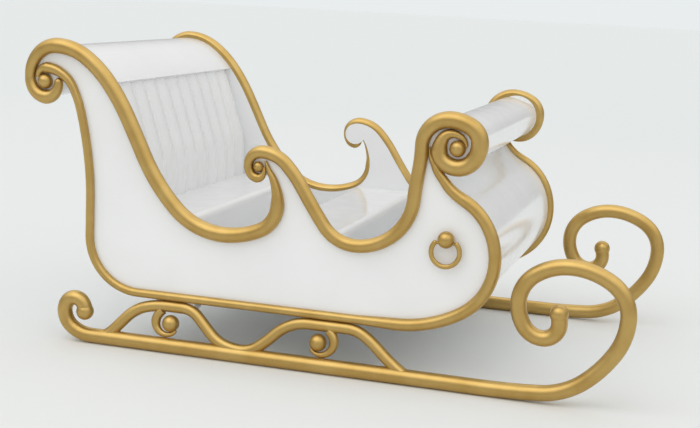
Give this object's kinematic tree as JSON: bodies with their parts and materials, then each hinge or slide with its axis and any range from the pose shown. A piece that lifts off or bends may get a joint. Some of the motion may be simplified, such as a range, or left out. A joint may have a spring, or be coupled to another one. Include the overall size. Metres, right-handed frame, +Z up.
{
  "type": "sleigh",
  "caption": "Full-size open display sleigh with two bench seats, scrolled side panels edged by round beads, and scrolled runners on arched supports.",
  "frame": {"origin": "on the floor, midway between the runners and midway along the length", "axes": "+X to the front, the way it is pulled; +Y to its left; +Z up"},
  "size_m": [2.3921, 1.384, 1.1729],
  "materials": {
    "white_gelcoat": "glossy moulded gelcoat on fibreglass",
    "gold_paint": "satin metallic gold paint",
    "painted_steel": "white painted steel frame"
  },
  "bodies": {
    "body": {"side_panel_right": "white_gelcoat", "side_panel_left": "white_gelcoat", "crest_shell": "white_gelcoat", "rear_skin": "white_gelcoat", "floor_pan": "white_gelcoat", "belly_skin": "white_gelcoat", "dash_roll": "white_gelcoat", "dash_board": "white_gelcoat", "seat_back": "white_gelcoat", "seat_top": "white_gelcoat", "seat_riser": "white_gelcoat", "bench_top": "white_gelcoat", "bench_front": "white_gelcoat", "bench_rear": "white_gelcoat", "rear_top_bead_right": "gold_paint", "rear_top_bead_left": "gold_paint", "mid_bead_right": "gold_paint", "mid_bead_left": "gold_paint", "lower_bead_right": "gold_paint", "lower_bead_left": "gold_paint", "runner_right": "gold_paint", "runner_left": "gold_paint", "runner_arches_right": "gold_paint", "runner_arches_left": "gold_paint", "drop_scrolls_right": "gold_paint", "drop_scrolls_left": "gold_paint", "pull_ball_right": "gold_paint", "pull_ball_left": "gold_paint", "arch_saddles_right": "painted_steel", "arch_saddles_left": "painted_steel", "cross_bar_rear": "painted_steel", "cross_bar_front": "painted_steel"},
    "right_ring": {"pull_ring_right": "gold_paint"},
    "left_ring": {"pull_ring_left": "gold_paint"}
  },
  "joints": [
    {"name": "right_ring_swing", "type": "hinge", "parent": "body", "child": "right_ring", "pos_m": [0.506, -0.643, 0.535], "axis": [-1, 0, 0], "range_deg": [-5, 180]},
    {"name": "left_ring_swing", "type": "hinge", "parent": "body", "child": "left_ring", "pos_m": [0.506, 0.643, 0.535], "axis": [1, 0, 0], "range_deg": [-5, 180]}
  ]
}
